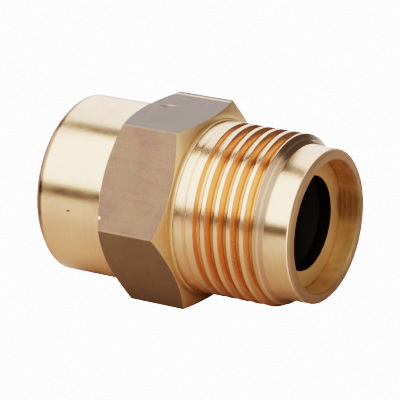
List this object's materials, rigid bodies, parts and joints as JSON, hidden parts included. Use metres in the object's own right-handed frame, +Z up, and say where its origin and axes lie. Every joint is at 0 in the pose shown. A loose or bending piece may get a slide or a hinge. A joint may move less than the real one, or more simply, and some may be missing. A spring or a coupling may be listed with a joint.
{
  "type": "flare fitting",
  "caption": "Brass straight fitting: hexagon, 3/4-16 male thread with a plain counterbored nose holding a flat seat washer, and a plain tail with a tube socket.",
  "frame": {"origin": "on the fitting's axis, in the plane of the hexagon's front face, where the threaded spigot starts", "axes": "+X along the axis towards the threaded nose; +Z up, square to the flat of the hexagon that faces up; the fitting lies on the opposite flat"},
  "size_m": [0.0312, 0.0236, 0.0206],
  "materials": {
    "brass_body": "satin machined brass, raw drawn skin on the hexagon",
    "soft_brass_washer": "dull annealed brass"
  },
  "bodies": {
    "body": {"fitting_body": "brass_body"},
    "washer": {"seat_washer": "soft_brass_washer"}
  },
  "joints": [
    {"name": "washer_lift_out", "type": "slide", "parent": "body", "child": "washer", "axis": [1, 0, 0], "range_m": [0, 0.006]}
  ]
}
